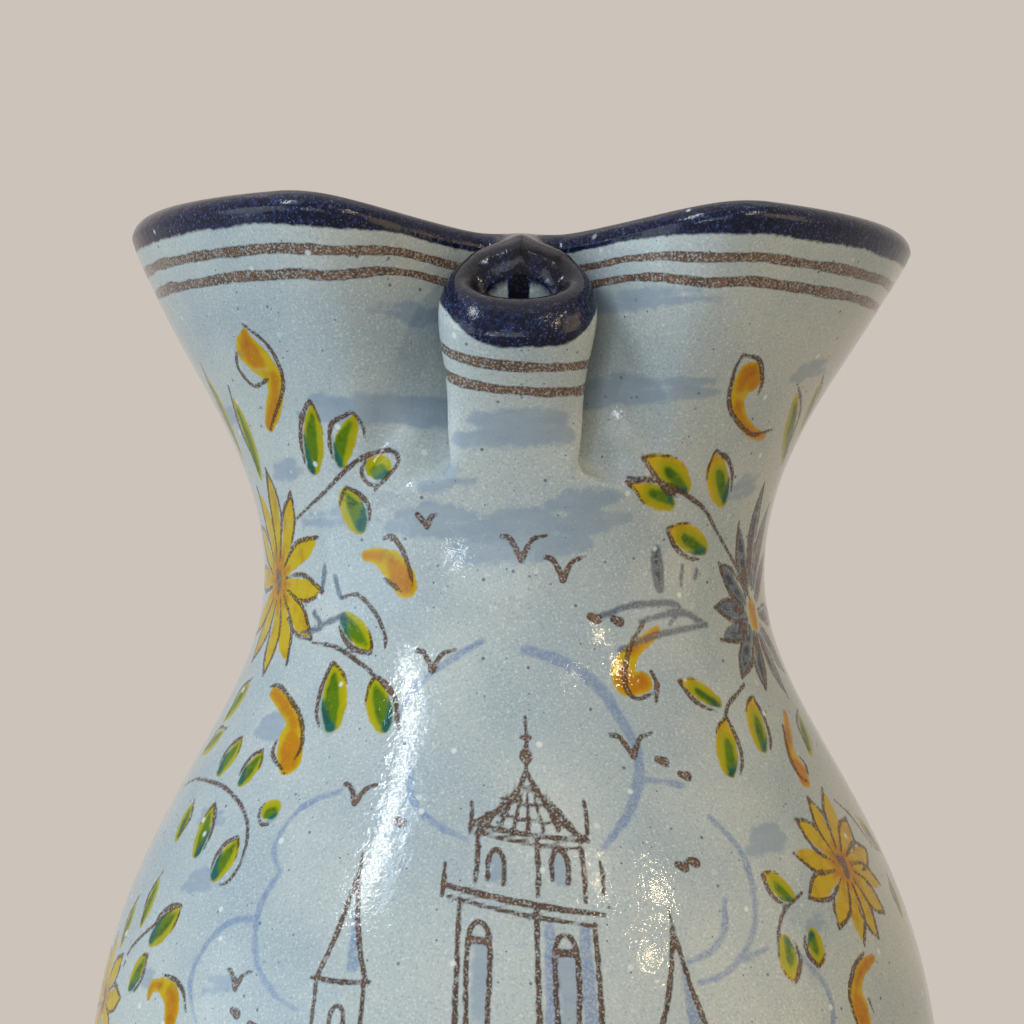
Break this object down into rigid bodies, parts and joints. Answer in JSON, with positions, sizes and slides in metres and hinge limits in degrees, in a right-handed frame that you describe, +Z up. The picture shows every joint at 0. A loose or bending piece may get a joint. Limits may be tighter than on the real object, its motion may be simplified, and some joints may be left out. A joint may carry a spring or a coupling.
{
  "type": "jug",
  "caption": "Tin-glazed earthenware jug: ovoid belly, waisted neck, flared lobed mouth pinched into a tube spout, and a strap handle opposite.",
  "frame": {"origin": "centre of the flat foot, on the jug's turning axis", "axes": "+Z up along the turning axis, -Y towards the spout, +Y towards the handle, +X to the right of someone facing the spout"},
  "size_m": [0.1404, 0.1779, 0.25],
  "materials": {
    "tin_glaze": "glossy pale blue-white tin glaze with painted decoration",
    "bare_clay": "unglazed fired clay underneath, glaze wiped off the standing face"
  },
  "bodies": {
    "root": {"foot": "bare_clay", "lower_body": "tin_glaze", "upper_body": "tin_glaze", "neck": "tin_glaze", "mouth": "tin_glaze", "spout": "tin_glaze", "handle": "tin_glaze", "handle_upper_pad": "tin_glaze", "handle_lower_pad": "tin_glaze"}
  },
  "joints": []
}
